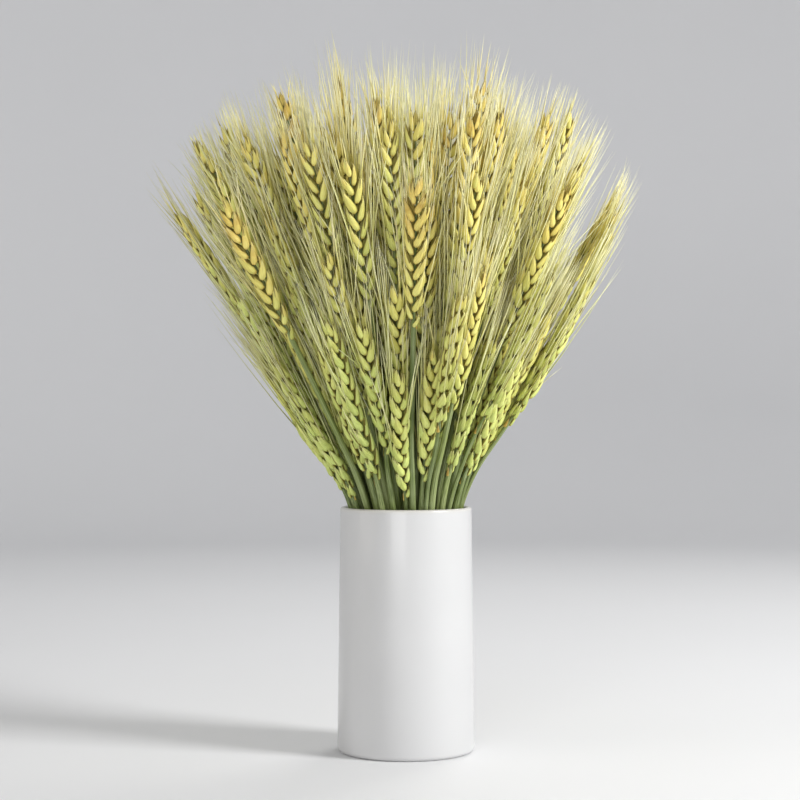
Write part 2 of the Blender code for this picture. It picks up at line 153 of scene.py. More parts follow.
# %% The numbers of the layout
STALK_COUNT = 112
SEED = 5
SEAT_SPACING = 0.174
STEM_RADIUS = 0.0019
RIM_GAP = 0.0003
FOOT_HEIGHT = VASE_FLOOR + RIM_GAP
FOOT_SIDE = 0.0028
WAIST_RADIUS = 0.0240
RIM_SLOPE = 0.30
FAN_SLOPE = 0.66
FAN_LENGTH = 0.030
FAN_APEX_DROP = 0.083
LEAN = -0.060
DOME_REACH = 0.243
SIDE_REACH = 0.214
DOME_EASE = (23, 14)            # degrees where the reach starts to ease to that of the sides, and over which
OUTER_SEATS = 0.86
MIDDLE_SEATS = 0.62
OUTER_SHARES = (1.0, 0.51, 0.74, 0.57, 0.95, 0.53, 0.66, 0.61)
MIDDLE_SHARES = (0.98, 0.74, 0.92, 0.64, 0.96, 0.84)
INNER_SHARES = (0.86, 1.0)
SHARE_DRAW = 0.03
LOW_SHARE = 0.58
LOW_LEAN = 0.16                 # how much further out low ears lean, so that they clear the tall ones
LOW_LEAN_BELOW = 0.68
EAR_LENGTHS = (0.080, 0.108)
LOW_EAR_LENGTHS = (0.074, 0.094)
BARE_STEM = 0.025
EAR_CLEAR_RADIUS = 0.0058
LEVEL_STEP = 0.006
SETTLE_ROUNDS = 260
SETTLE_PUSH = 0.35              # share of the missing room that one round gives
SMOOTHING = 0.25
SPACE = 0.0008
RIM_GRIP = 8                    # the shifts fade in over an eighth of the height above the rim
RIM_MIDDLE = np.array([0, 0, VASE_HEIGHT])


# %% Seats of the stalks, and the pairs
def seat_points(random):
    """Places of the stalks in a unit disc: a sunflower spiral, shaken and evened out."""
    index = np.arange(STALK_COUNT) + 0.5
    radius = np.sqrt(index / STALK_COUNT)
    turn = index * math.pi * (3 - math.sqrt(5))
    points = np.stack([radius * np.cos(turn), radius * np.sin(turn)], axis=1)
    points += random.normal(0, 0.03, points.shape)
    for _ in range(120):
        apart = points[:, None] - points[None]
        distance = np.linalg.norm(apart, axis=2) + 9 * np.eye(STALK_COUNT)
        push = np.clip(SEAT_SPACING - distance, 0, None) / distance
        points += 0.4 * (apart * push[..., None]).sum(axis=1)
        points /= np.maximum(np.linalg.norm(points, axis=1), 1.0)[:, None]
    return points


def neighbour_pairs(points):
    """Pairs of near neighbours, by swapping partners while the squared distances shrink."""
    far = ((points[:, None] - points[None]) ** 2).sum(axis=2)
    order = np.argsort(np.arctan2(points[:, 1], points[:, 0]))
    pairs = [tuple(order[i : i + 2]) for i in range(0, STALK_COUNT, 2)]
    better = True
    while better:
        better = False
        for a in range(len(pairs)):
            for b in range(a + 1, len(pairs)):
                (p, q), (r, s) = pairs[a], pairs[b]
                for first, second in (((p, r), (q, s)), ((p, s), (q, r))):
                    if far[first] + far[second] < far[pairs[a]] + far[pairs[b]] - 1e-9:
                        pairs[a], pairs[b] = first, second
                        better = True
    return pairs


# %% The outline of the bunch
def bunch_radius(height):
    """Radius of the ring of outermost stems at a height: drawn in, then opening like a fan."""
    rim = VASE_RIM_RADIUS - VASE_WALL - RIM_GAP - STEM_RADIUS * 1.05
    drop = np.clip(VASE_HEIGHT - height, 0, None)
    rise = np.clip(height - VASE_HEIGHT, 0, None)
    bend = RIM_SLOPE**2 / (4 * (rim - WAIST_RADIUS))
    waist_drop = RIM_SLOPE / (2 * bend)
    below = np.where(
        drop < waist_drop,
        rim - RIM_SLOPE * drop + bend * drop**2,
        WAIST_RADIUS + 0.4 * (drop - waist_drop) ** 2,
    )
    easing = (FAN_SLOPE - RIM_SLOPE) * FAN_LENGTH * (1 - np.exp(-rise / FAN_LENGTH))
    return np.where(height < VASE_HEIGHT, below, rim + FAN_SLOPE * rise - easing)


def dome_reach(places):
    """Reach of the longest ears in the direction of each place, seen from the middle of the rim."""
    lean = np.degrees(np.arctan2(np.linalg.norm(places[:, :2], axis=1), places[:, 2] - VASE_HEIGHT))
    ease = np.clip((lean - DOME_EASE[0]) / DOME_EASE[1], 0, 1)
    return DOME_REACH - (DOME_REACH - SIDE_REACH) * ease * ease * (3 - 2 * ease)


def choose_reaches(points, random):
    """How far each ear's tip is from the middle of the rim, and how long the ear is."""
    outward = np.linalg.norm(points, axis=1)
    high = np.full(STALK_COUNT, VASE_HEIGHT + 0.18)
    full = dome_reach(np.column_stack([points * bunch_radius(high)[:, None], high]))
    share = random.uniform(*INNER_SHARES, STALK_COUNT)

    around = np.argsort(np.arctan2(points[:, 1], points[:, 0]))
    outer = [i for i in around if outward[i] > OUTER_SEATS]
    middle = [i for i in around if MIDDLE_SEATS < outward[i] <= OUTER_SEATS]
    for ring, shares in ((outer, OUTER_SHARES), (middle, MIDDLE_SHARES)):
        for place, i in enumerate(ring):
            share[i] = shares[place % len(shares)] + random.uniform(-SHARE_DRAW, SHARE_DRAW)

    low = share < LOW_SHARE
    lengths = np.where(
        low,
        random.uniform(*LOW_EAR_LENGTHS, STALK_COUNT),
        random.uniform(*EAR_LENGTHS, STALK_COUNT),
    )
    reaches = full * np.minimum(share, 1.0)
    return reaches, np.minimum(lengths, reaches - BARE_STEM)


# %% Room between the ears
def ear_clear_radius(from_tip, length):
    """Room that a stalk needs, at a distance below its ear's tip."""
    along = from_tip / length
    swell = np.interp(along, [0.0, 0.12, 0.3, 0.85, 1.0], [0.35, 0.8, 1.0, 1.0, 0.45])
    room = np.where(along <= 1.0, EAR_CLEAR_RADIUS * swell, STEM_RADIUS)
    return np.where(from_tip < 0, 0.0, room)


def climb(places):
    """Distance gone along a path, or along many, at each level."""
    steps = np.linalg.norm(np.diff(places, axis=-2), axis=-1)
    return np.concatenate([np.zeros(steps.shape[:-1] + (1,)), np.cumsum(steps, axis=-1)], axis=-1)


def slant(places, levels):
    """How much wider a slanting ear is in a level cut, for places (.., level, x y)."""
    reach = np.linalg.norm(places[..., :2], axis=-1)
    return 1 + 0.5 * (reach / (levels - VASE_HEIGHT + FAN_APEX_DROP)) ** 2


def push_apart(places, room, others, others_room, itself, space=0.0):
    """How far the others push each place away, level by level, and the deepest overlap."""
    apart = places[:, None] - others[None]
    distance = np.linalg.norm(apart, axis=3)
    distance[np.arange(len(places)), itself] = 9
    need = room[:, None] + others_room[None] + space
    both = (room[:, None] > 0) & (others_room[None] > 0)
    push = np.where(both, np.clip(need - distance, 0, None), 0) / distance
    return (apart * push[..., None]).sum(axis=1), float(np.where(both, need - distance, -1).max())


def smoothed(shift):
    """Each level's shift, drawn a little towards the levels above and below."""
    smooth = shift.copy()
    smooth[:, 1:-1] += SMOOTHING * (shift[:, :-2] + shift[:, 2:] - 2 * shift[:, 1:-1])
    return smooth


def settle_stalks(points, reaches, lengths):
    """Paths of the stalks above the rim, pushed apart level by level until the ears have room."""
    levels = np.arange(VASE_HEIGHT, VASE_HEIGHT + DOME_REACH + 0.05, LEVEL_STEP)
    radius = bunch_radius(levels)
    lean_out = 1 + LOW_LEAN * np.clip(LOW_LEAN_BELOW - reaches / SIDE_REACH, 0, 1)
    rise = (levels - VASE_HEIGHT) / (levels[-1] - VASE_HEIGHT)
    nominal = points[:, None, :] * radius[None, :, None]
    nominal = nominal * (1 + (lean_out[:, None] - 1) * np.minimum(rise * 3, 1))[..., None]
    nominal[..., 0] += LEAN * (levels - VASE_HEIGHT)

    shift = np.zeros_like(nominal)
    ramp = np.minimum(rise * RIM_GRIP, 1)[None, :, None]
    itself = np.arange(STALK_COUNT)
    for _ in range(SETTLE_ROUNDS):
        places = nominal + shift
        heights = np.broadcast_to(levels[None, :, None], places.shape[:2] + (1,))
        full = np.concatenate([places, heights], axis=2)
        climbed = climb(full)
        out = np.linalg.norm(full - RIM_MIDDLE, axis=2)
        total = np.array([np.interp(reaches[i], out[i], climbed[i]) for i in range(STALK_COUNT)])
        room = ear_clear_radius(total[:, None] - climbed, lengths[:, None])

        wide = room * slant(places, levels)
        shift += SETTLE_PUSH * push_apart(places, wide, places, wide, itself, SPACE)[0]
        shift = smoothed(shift) * ramp
    return full, climbed, total, room


# %% [markdown]
# A stalk also has a way round: the ear is flat, with two ranks of husks, and the frame chose for each stalk
# which way its ranks face. One small class keeps the path with that turn, and gives the place and three
# directions at any distance along it: across the ranks, out of the face, and along the stalk.


# %% One stalk
class Stalk:
    """One stalk's path, from its cut foot to the tip of its ear. Distances count from the rim."""

    def __init__(self, foot, waist, path, climbed, total, ear_length, rank_turn):
        below = np.linalg.norm(path[0] - waist)
        start = below + np.linalg.norm(waist - foot)
        self.path = np.vstack([foot, waist, path])
        self.gone = np.concatenate([[-start, -below], climbed])
        self.total = total
        self.ear_length = ear_length
        self.ear_base = total - ear_length
        self.rank_turn = rank_turn

    def points(self, distances):
        return np.stack([np.interp(distances, self.gone, self.path[:, axis]) for axis in range(3)], axis=-1)

    def frames(self, distances):
        """Places, and the directions across the ranks, out of the face and along the stalk."""
        distances = np.asarray(distances, float)
        along = self.points(distances + 0.004) - self.points(distances - 0.004)
        along /= np.linalg.norm(along, axis=1)[:, None]
        side = np.array([1.0, 0.0, 0.0]) - along * along[:, :1]
        side /= np.linalg.norm(side, axis=1)[:, None]
        other = np.cross(along, side)
        turn = self.rank_turn
        rank = side * math.cos(turn) + other * math.sin(turn)
        face = other * math.cos(turn) - side * math.sin(turn)
        return self.points(distances), rank, face, along


# %% Lay out all stalks
random = np.random.default_rng(SEED)
seats = seat_points(random)
pairs = neighbour_pairs(seats)
reaches, ear_lengths = choose_reaches(seats, random)
paths, climbed, totals, rooms = settle_stalks(seats, reaches, ear_lengths)

waist_height = float(VASE_HEIGHT - 2 * (bunch_radius(VASE_HEIGHT) - WAIST_RADIUS) / RIM_SLOPE)
stalks = [None] * STALK_COUNT
for pair in pairs:
    gap = seats[pair[1]] - seats[pair[0]]
    bearing = math.atan2(gap[1], gap[0])
    middle = (seats[pair[0]] + seats[pair[1]]) / 2 * bunch_radius(FOOT_HEIGHT)
    for sign, i in zip((-0.5, 0.5), pair):
        toe = middle + sign * FOOT_SIDE * np.array([math.cos(bearing), math.sin(bearing)])
        waist = np.append(seats[i] * bunch_radius(waist_height), waist_height)
        wanted = math.atan2(seats[i][1], seats[i][0]) + math.pi / 4 + random.normal(0, 0.45)
        turn = wanted + math.pi / 4
        stalks[i] = Stalk(
            np.append(toe, FOOT_HEIGHT), waist, paths[i], climbed[i], totals[i], ear_lengths[i], turn
        )

# The frame's own ears show how well the two layouts agree
gaps = []
for place, pair in enumerate(pairs):
    solid = nodes[f"wheat_stalks_{place + 1:02d}"].data
    corners = np.empty(len(solid.vertices) * 3)
    solid.vertices.foreach_get("co", corners)
    corners = corners.reshape(-1, 3)
    for i in pair:
        ends = stalks[i].points(np.array([0.0, stalks[i].ear_base]))
        for end in ends:
            gaps.append(np.linalg.norm(corners - end, axis=1).min())
print("Stalks:", len(stalks), "furthest from its solid, mm:", round(max(gaps) * 1000, 2))

# %% [markdown]
# ## Stalks between the stalks
#
# The frame holds as many solid stalks as a light model can carry. The real bunch is fuller: thinner ears fill
# the gaps, most of all low in the outer rings, where they close its sides. Each new stalk is tried at
# hundreds of seats and at several heights, and takes the place where its ear has the most room. Its path
# keeps to the middle of the five stalks round its seat, so that it fans out as they do. The outermost ones
# also lean out a little where the real bunch bulges, low at the left and the right.

# %% Numbers of the fill
FILL_COUNT = 66
FILL_SEATS = (0.62, 1.0)
FILL_TRIES = 800
# Rise above the rim, and how much further out the outermost ones stand there, at the left and at the right
FILL_LEAN = np.array(
    [
        (0.00, 0.00, 0.000),
        (0.05, 0.00, 0.085),
        (0.09, 0.03, 0.100),
        (0.13, 0.11, 0.070),
        (0.17, 0.04, -0.020),
        (0.21, -0.04, -0.050),
    ]
)
FILL_BANDS = [(0.48, 0.56), (0.62, 0.76), (0.52, 0.62), (0.78, 0.99), (0.50, 0.60), (0.56, 0.68)]
FILL_EAR_LENGTHS = (0.074, 0.100)
FILL_EAR_ROOM = 0.80            # of the room of an ear of the frame
FILL_STEM_RADIUS = 0.0013

levels = paths[0, :, 2]
rises = levels - VASE_HEIGHT
spread = bunch_radius(levels)
sway = np.column_stack([LEAN * rises, np.zeros(len(levels))])
disc_places = (paths[..., :2] - sway) / spread[None, :, None]


def path_between(seat):
    """A path that keeps its place among the five stalks that stand round its seat."""
    away = ((seats - seat) ** 2).sum(axis=1)
    near = np.argsort(away)[:5]
    weight = 1 / (away[near] + 1e-3)
    moved = (disc_places[near] - seats[near][:, None]) * weight[:, None, None]
    outermost = np.clip((np.linalg.norm(seat) - 0.9) / 0.1, 0, 1)
    rightness = (1 + seat[0]) / 2
    leans = FILL_LEAN[:, 1:] @ [1 - rightness, rightness]
    leaning = 1 + outermost * np.interp(rises, FILL_LEAN[:, 0], leans)
    places = (seat + moved.sum(axis=0) / weight.sum()) * leaning[:, None]
    return np.column_stack([places * spread[:, None] + sway, levels])


def fill_room(places, reach, length):
    """Room that a filling stalk needs at each level."""
    gone = climb(places)
    from_tip = np.interp(reach, np.linalg.norm(places - RIM_MIDDLE, axis=1), gone) - gone
    room = ear_clear_radius(from_tip, length) * FILL_EAR_ROOM
    return np.where(from_tip > length, FILL_STEM_RADIUS, room)


# %% Seat the filling stalks
chance = np.random.default_rng(8)
ring = np.sqrt(chance.uniform(FILL_SEATS[0] ** 2, FILL_SEATS[1] ** 2, FILL_TRIES))
bearings = chance.uniform(-math.pi, math.pi, FILL_TRIES)
tries = np.column_stack([ring * np.cos(bearings), ring * np.sin(bearings)])
try_paths = np.stack([path_between(seat) for seat in tries])
try_slants = slant(try_paths, levels)


def free_room(path, room):
    """How far each tried path stays from a stalk's surface, level by level."""
    gap = np.linalg.norm(try_paths[..., :2] - path[None, :, :2], axis=2) - room * slant(path, levels)
    return np.where(room > 0, gap, 1.0)


free = np.min([free_room(path, room) for path, room in zip(paths, rooms)], axis=0)
fill_paths, fill_rooms, fill_reaches, fill_lengths, fill_seats = [], [], [], [], []
for number in range(FILL_COUNT):
    band = FILL_BANDS[number % len(FILL_BANDS)]
    length = chance.uniform(*FILL_EAR_LENGTHS)
    best = None
    for index in range(FILL_TRIES):
        share = chance.uniform(*band)
        reach = share * float(dome_reach(try_paths[index][-12:-11])[0])
        fits = min(length, reach - BARE_STEM)
        room = fill_room(try_paths[index], reach, fits)
        slack = np.where(room > 0, free[index] - room * try_slants[index], 1.0).min()
        if best is None or slack > best[0]:
            best = (slack, index, reach, fits, room)
    slack, index, reach, fits, room = best
    free = np.minimum(free, free_room(try_paths[index], room))
    fill_paths.append(try_paths[index])
    fill_rooms.append(room)
    fill_reaches.append(reach)
    fill_lengths.append(fits)
    fill_seats.append(tries[index])
print("Filling stalks:", len(fill_paths), "least slack of the last, mm:", round(slack * 1000, 1))

# %% [markdown]
# A few rounds of the same push then ease the filling stalks away from whatever they still touch. The stalks
# of the frame stay where they are.

# %% Ease them apart
FILL_ROUNDS = 90
FILL_PUSH = 0.3

fill_paths = np.stack(fill_paths)
fill_rooms = np.stack(fill_rooms)
started = fill_paths.copy()
ramp = np.minimum(rises / rises[-1] * RIM_GRIP, 1)[:, None]
itself = STALK_COUNT + np.arange(FILL_COUNT)
for _ in range(FILL_ROUNDS):
    places = np.concatenate([paths, fill_paths])[..., :2]
    wide = np.concatenate([rooms, fill_rooms]) * slant(places, levels)
    shoves, overlap = push_apart(places[STALK_COUNT:], wide[STALK_COUNT:], places, wide, itself)
    moved = fill_paths[..., :2] - started[..., :2] + FILL_PUSH * shoves
    fill_paths[..., :2] = started[..., :2] + smoothed(moved) * ramp

fillers = []
for path, reach, length, seat in zip(fill_paths, fill_reaches, fill_lengths, fill_seats):
    gone = climb(path)
    total = float(np.interp(reach, np.linalg.norm(path - RIM_MIDDLE, axis=1), gone))
    foot = np.append(seat * bunch_radius(FOOT_HEIGHT), FOOT_HEIGHT)
    waist = np.append(seat * bunch_radius(waist_height), waist_height)
    turn = math.atan2(seat[1], seat[0]) + math.pi / 2 + chance.normal(0, 0.5)
    fillers.append(Stalk(foot, waist, path, gone, total, length, turn))
print("Filling stalks eased apart; deepest overlap left, mm:", round(overlap * 1000, 1))

# %% [markdown]
# ## One husk, one awn, one stem
#
# The bunch has about thirteen thousand husks and six thousand awns, so each kind is modelled once. A real
# husk is boat-shaped: blunt and plump at its base, keeled along its back, flat towards the ear, and drawn out
# to a point that runs on as the awn. A sphere has the closed, rounded form to start from, and its rings are
# moved and scaled one by one. With so many copies it may have only a few dozen faces, so the rings sit where
# the outline turns, and the husks deep in the bunch have fewer rings still.

# %% Model the husk
HUSK_LENGTH = 0.0132
HUSK_HALF_WIDTH = 0.00245
HUSK_SIDES = 8
HUSK_OUTWARD = 0.80             # how plump the back is, of half the width
HUSK_INWARD = 0.42              # and the inner face
HUSK_KEEL = 0.17

# Height and half width of each ring, from the point down to the base
husk_profile = [(1.0, 0.0), (0.80, 0.37), (0.50, 0.84), (0.22, 1.0), (0.045, 0.62), (0.0, 0.0)]
plain_profile = [husk_profile[place] for place in (0, 1, 3, 5)]


def model_husk(name, profile):
    """A husk with its base at the origin, its point up and its back towards +Y."""
    deselect_all()
    rings = len(profile) - 1
    bpy.ops.mesh.primitive_uv_sphere_add(segments=HUSK_SIDES, ring_count=rings, radius=1.0)
    thing = bpy.context.object
    thing.name = name
    bpy.ops.object.mode_set(mode="EDIT")
    heights = [math.cos(math.pi * ring / rings) for ring in range(rings + 1)]
    aside = 10                  # a ring that is done waits up here, so that it isn't picked again
    for old, (height, width) in zip(heights, profile):
        pick(thing, "VERT", lambda vert: abs(vert.co.z - old) < 1e-3)
        bpy.ops.transform.translate(value=(0, 0, aside + height - old))
        if width > 0:
            grow = width / math.sqrt(1 - old * old)
            bpy.ops.transform.resize(value=(grow, grow, 1), center_override=(0, 0, aside + height))
    pick(thing, "VERT", lambda vert: True)
    bpy.ops.transform.translate(value=(0, 0, -aside))

    # Plump outwards, flat inwards, with a keel down the back
    pick(thing, "VERT", lambda vert: vert.co.y > 0.01)
    bpy.ops.transform.resize(value=(1, HUSK_OUTWARD, 1), center_override=(0, 0, 0))
    pick(thing, "VERT", lambda vert: vert.co.y < -0.01)
    bpy.ops.transform.resize(value=(1, HUSK_INWARD, 1), center_override=(0, 0, 0))
    pick(thing, "VERT", lambda vert: vert.co.y > 0.2 and abs(vert.co.x) < 0.01)
    bpy.ops.transform.translate(value=(0, HUSK_KEEL, 0))
    pick(thing, "VERT", lambda vert: True)
    size = (HUSK_HALF_WIDTH, HUSK_HALF_WIDTH, HUSK_LENGTH)
    bpy.ops.transform.resize(value=size, center_override=(0, 0, 0))
    bpy.ops.object.mode_set(mode="OBJECT")
    return thing


husk = model_husk("husk_master", husk_profile)
plain_husk = model_husk("plain_husk_master", plain_profile)
print("Husk faces:", len(husk.data.polygons), "size in mm:", [round(d * 1000, 1) for d in husk.dimensions])

# %% [markdown]
# An awn is a stiff bristle, under a millimetre thick at its foot and far finer at its tip. Three sides are
# enough for it, since it is never more than a pixel or two wide. It is drawn out of one small triangle with
# three extrudes, and the last ring is merged to a point. The stem is a ten-sided rod with a row of rings to
# bend it by. Both are modelled one unit high, and each copy gets its own length and thickness.

# %% Model the awn and the stem
AWN_RINGS = 3
STEM_RINGS = 21
STEM_SIDES = 10

deselect_all()
bpy.ops.mesh.primitive_circle_add(vertices=3, radius=1.0, fill_type="NGON", location=(0, 0, 0))
awn = bpy.context.object
awn.name = "awn_master"
bpy.ops.object.mode_set(mode="EDIT")
bpy.ops.mesh.select_all(action="SELECT")
for ring in range(AWN_RINGS):
    bpy.ops.mesh.extrude_region_move(TRANSFORM_OT_translate={"value": (0, 0, 1 / AWN_RINGS)})
bpy.ops.mesh.merge(type="CENTER")
bpy.ops.mesh.select_all(action="SELECT")
bpy.ops.mesh.normals_make_consistent(inside=False)
bpy.ops.object.mode_set(mode="OBJECT")

deselect_all()
bpy.ops.mesh.primitive_cylinder_add(vertices=STEM_SIDES, radius=1.0, depth=1.0, location=(0, 0, 0.5))
stem = bpy.context.object
stem.name = "stem_master"
bpy.ops.object.transform_apply(location=True, rotation=True, scale=True)
bpy.ops.object.mode_set(mode="EDIT")
pick(stem, "EDGE", lambda edge: abs(edge.verts[0].co.z - edge.verts[1].co.z) > 0.5)
bpy.ops.mesh.subdivide(number_cuts=STEM_RINGS - 2)
bpy.ops.object.mode_set(mode="OBJECT")
print("Awn faces:", len(awn.data.polygons), "stem faces:", len(stem.data.polygons))

# %% [markdown]
# ## Copying thousands of small parts
#
# Duplicating objects one by one would take minutes for so many. Instead the points and faces of each master
# are read once, and one function sets copies of them down wherever they are wanted. Each copy also carries a
# map that wraps round it, with its length as the height of the map, so that veins can run along every husk.


# %% Read the masters
class Master:
    """The points, faces and wrap-round map of a part that is copied many times."""

    def __init__(self, thing):
        mesh = thing.data
        self.points = np.empty(len(mesh.vertices) * 3)
        mesh.vertices.foreach_get("co", self.points)
        self.points = self.points.reshape(-1, 3)
        self.corners = np.empty(len(mesh.loops), int)
        mesh.loops.foreach_get("vertex_index", self.corners)
        self.sizes = np.array([face.loop_total for face in mesh.polygons])
        self.triangles = int((self.sizes - 2).sum())
        bpy.data.objects.remove(thing)

        top = self.points[:, 2].max()
        spots = self.points[self.corners]
        around = np.arctan2(spots[:, 1], spots[:, 0]) / (2 * math.pi) + 0.5
        on_axis = np.hypot(spots[:, 0], spots[:, 1]) < 1e-7
        start = 0
        for size in self.sizes:
            part = slice(start, start + size)
            if np.ptp(around[part]) > 0.5:
                around[part] += around[part] < 0.5
            if on_axis[part].any():
                around[part][on_axis[part]] = around[part][~on_axis[part]].mean()
            start += size
        self.map = np.column_stack([around, spots[:, 2] / top])


husk_master = Master(husk)
plain_husk_master = Master(plain_husk)
awn_master = Master(awn)
stem_master = Master(stem)
print("Triangles: husk", husk_master.triangles, "awn", awn_master.triangles, "stem", stem_master.triangles)


# %% Gather copies into one mesh
class Sheaf:
    """Gathers copies of the masters and turns them into one mesh."""

    def __init__(self):
        self.parts = []
        self.count = 0

    def add(self, master, points, tones, slot):
        """Points are (copies, points of the master, 3); tones are four numbers for each copy."""
        copies, each = points.shape[:2]
        first = self.count + each * np.arange(copies)[:, None]
        corners = (master.corners[None] + first).ravel()
        sizes = np.tile(master.sizes, copies)
        wrap = np.tile(master.map, (copies, 1))
        slots = np.full(len(sizes), slot)
        tones = np.repeat(tones, each, axis=0)
        self.parts.append((points.reshape(-1, 3), corners, sizes, wrap, tones, slots))
        self.count += copies * each

    def make(self, name, materials):
        points, corners, sizes, wrap, tones, slots = (np.concatenate(part) for part in zip(*self.parts))
        mesh = bpy.data.meshes.new(name)
        mesh.vertices.add(len(points))
        mesh.vertices.foreach_set("co", points.ravel())
        mesh.loops.add(len(corners))
        mesh.loops.foreach_set("vertex_index", corners)
        mesh.polygons.add(len(sizes))
        mesh.polygons.foreach_set("loop_start", np.cumsum(sizes) - sizes)
        mesh.polygons.foreach_set("material_index", slots)
        mesh.polygons.foreach_set("use_smooth", np.ones(len(sizes), bool))
        for material in materials:
            mesh.materials.append(material)
        mesh.uv_layers.new(name="wrap").uv.foreach_set("vector", wrap.ravel())
        tone = mesh.attributes.new("tone", "FLOAT_COLOR", "POINT")
        tone.data.foreach_set("color", tones.ravel())
        mesh.update(calc_edges=True)
        mesh.validate()
        thing = bpy.data.objects.new(name, mesh)
        bpy.context.scene.collection.objects.link(thing)
        return thing, int((sizes - 2).sum())


def unit(rays):
    """Directions scaled to a length of one."""
    return rays / np.linalg.norm(rays, axis=-1, keepdims=True)


# %% [markdown]
# ## Materials
#
# Colours are written as the sRGB hex values that a paint or photo program shows, and turned to the linear
# numbers that the shader works in. One function adds any node with its settings and its links. Short ones on
# top of it lay a colour over another, fade a value, do one step of arithmetic or spread a noise, so that the
# trees below read as recipes.


# %% Colour and node helpers
def hex_colour(text):
    """An sRGB hex colour as linear red, green, blue and alpha."""
    shares = [int(text[i : i + 2], 16) / 255 for i in (1, 3, 5)]
    return (*[s / 12.92 if s <= 0.04045 else ((s + 0.055) / 1.055) ** 2.4 for s in shares], 1.0)


def add_node(tree, kind, settings=None, inputs=None):
    """Adds a node, sets its own settings, and fills or links its sockets."""
    node = tree.nodes.new(kind)
    for name, value in (settings or {}).items():
        setattr(node, name, value)
    for socket, value in (inputs or {}).items():
        if isinstance(value, bpy.types.NodeSocket):
            tree.links.new(value, node.inputs[socket])
        else:
            node.inputs[socket].default_value = value
    return node


def lay(tree, share, under, over, way="MIX"):
    """Lays a hex colour over a colour by a share. MULTIPLY stains with it where MIX covers."""
    inputs = {0: share, 6: under, 7: hex_colour(over)}
    return add_node(tree, "ShaderNodeMix", {"data_type": "RGBA", "blend_type": way}, inputs).outputs[2]


def fade(tree, value, start, end, low, high, way="LINEAR"):
    """Goes from low to high while the value goes from start to end."""
    inputs = {0: value, 1: start, 2: end, 3: low, 4: high}
    return add_node(tree, "ShaderNodeMapRange", {"interpolation_type": way}, inputs).outputs[0]


def reckon(tree, operation, *values):
    """One step of arithmetic."""
    return add_node(tree, "ShaderNodeMath", {"operation": operation}, dict(enumerate(values))).outputs[0]


def spread_noise(tree, where, scale, detail=2.0, roughness=0.5):
    """A cloudy noise with waves of one over its scale, in the unit of the places that it reads."""
    inputs = {"Vector": where, "Scale": scale, "Detail": detail, "Roughness": roughness}
    return add_node(tree, "ShaderNodeTexNoise", {}, inputs).outputs["Fac"]


def stretch(tree, wrap, scales):
    """The wrap-round map drawn out, so that a noise on it runs in streaks."""
    return add_node(tree, "ShaderNodeMapping", {}, {"Vector": wrap, "Scale": scales}).outputs[0]


def colour_ramp(tree, factor, stops):
    """A ramp from hex colours, each with its place."""
    ramp = add_node(tree, "ShaderNodeValToRGB", {}, {"Fac": factor})
    while len(ramp.color_ramp.elements) < len(stops):
        ramp.color_ramp.elements.new(1.0)
    for element, (place, colour) in zip(ramp.color_ramp.elements, stops):
        element.position = place
        element.color = hex_colour(colour)
    return ramp.outputs["Color"]


def new_material(name, settings):
    """A material with its tree, and its Principled shader set to constants."""
    material = bpy.data.materials.new(name)
    material.use_nodes = True
    tree = material.node_tree
    shader = tree.nodes["Principled BSDF"]
    for socket, value in settings.items():
        shader.inputs[socket].default_value = value
    return material, tree, shader


def object_places(tree):
    """Places in the object's own space, in metres."""
    return add_node(tree, "ShaderNodeTexCoord").outputs["Object"]


def copy_values(tree):
    """What each copy carries: its ripening with painted light of the lit side mixed in, its chance number,
    and the map round it, whole and in parts.
    """
    tone = add_node(tree, "ShaderNodeAttribute", {"attribute_name": "tone"}).outputs["Color"]
    ripe, chance_number = add_node(tree, "ShaderNodeSeparateColor", {}, {0: tone}).outputs[:2]
    wrap = add_node(tree, "ShaderNodeUVMap", {"uv_map": "wrap"}).outputs[0]
    around, along = add_node(tree, "ShaderNodeSeparateXYZ", {}, {0: wrap}).outputs[:2]
    return {"ripe": ripe, "chance": chance_number, "wrap": wrap, "around": around, "along": along}


def surface(tree, shader, colour, height=None, strength=0.0, depth=0.0):
    """Links the colour to the shader, and a bump of some depth in metres where there is one."""
    tree.links.new(colour, shader.inputs["Base Color"])
    if height is not None:
        inputs = {"Strength": strength, "Distance": depth, "Height": height}
        bump = add_node(tree, "ShaderNodeBump", {}, inputs).outputs[0]
        tree.links.new(bump, shader.inputs["Normal"])


# %% [markdown]
# ### White glaze on earthenware
#
# The vase is glazed earthenware, dipped and fired. The glaze is glass on a pale body: a clear, soft
# reflection over a white that is hardly coloured at all. It flows a little in the kiln, so it gathers in
# faint waves about three centimetres wide, and it thins at the lip, where the body shows slightly warmer.

# %% The glaze
GLAZE_WAVES = 32.0              # waves to the metre
LIP_DEPTH = 0.0030

glaze, tree, shader = new_material(
    "earthenware_white_glaze", {"Roughness": 0.30, "IOR": 1.5, "Coat Weight": 0.35, "Coat Roughness": 0.10}
)
place = object_places(tree)
flow = spread_noise(tree, place, GLAZE_WAVES, roughness=0.4)
height = add_node(tree, "ShaderNodeSeparateXYZ", {}, {0: place}).outputs["Z"]
lip_share = fade(tree, height, VASE_HEIGHT - LIP_DEPTH, VASE_HEIGHT, 0.0, 0.55, "SMOOTHSTEP")
white = lay(tree, flow, hex_colour("#C7C7C7"), "#CBCBCB")
surface(tree, shader, lay(tree, lip_share, white, "#CAC5BD"), flow, 0.06, 0.002)
vase.data.materials.append(glaze)
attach(vase, "root")
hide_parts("vase")
print("Vase material:", glaze.name)
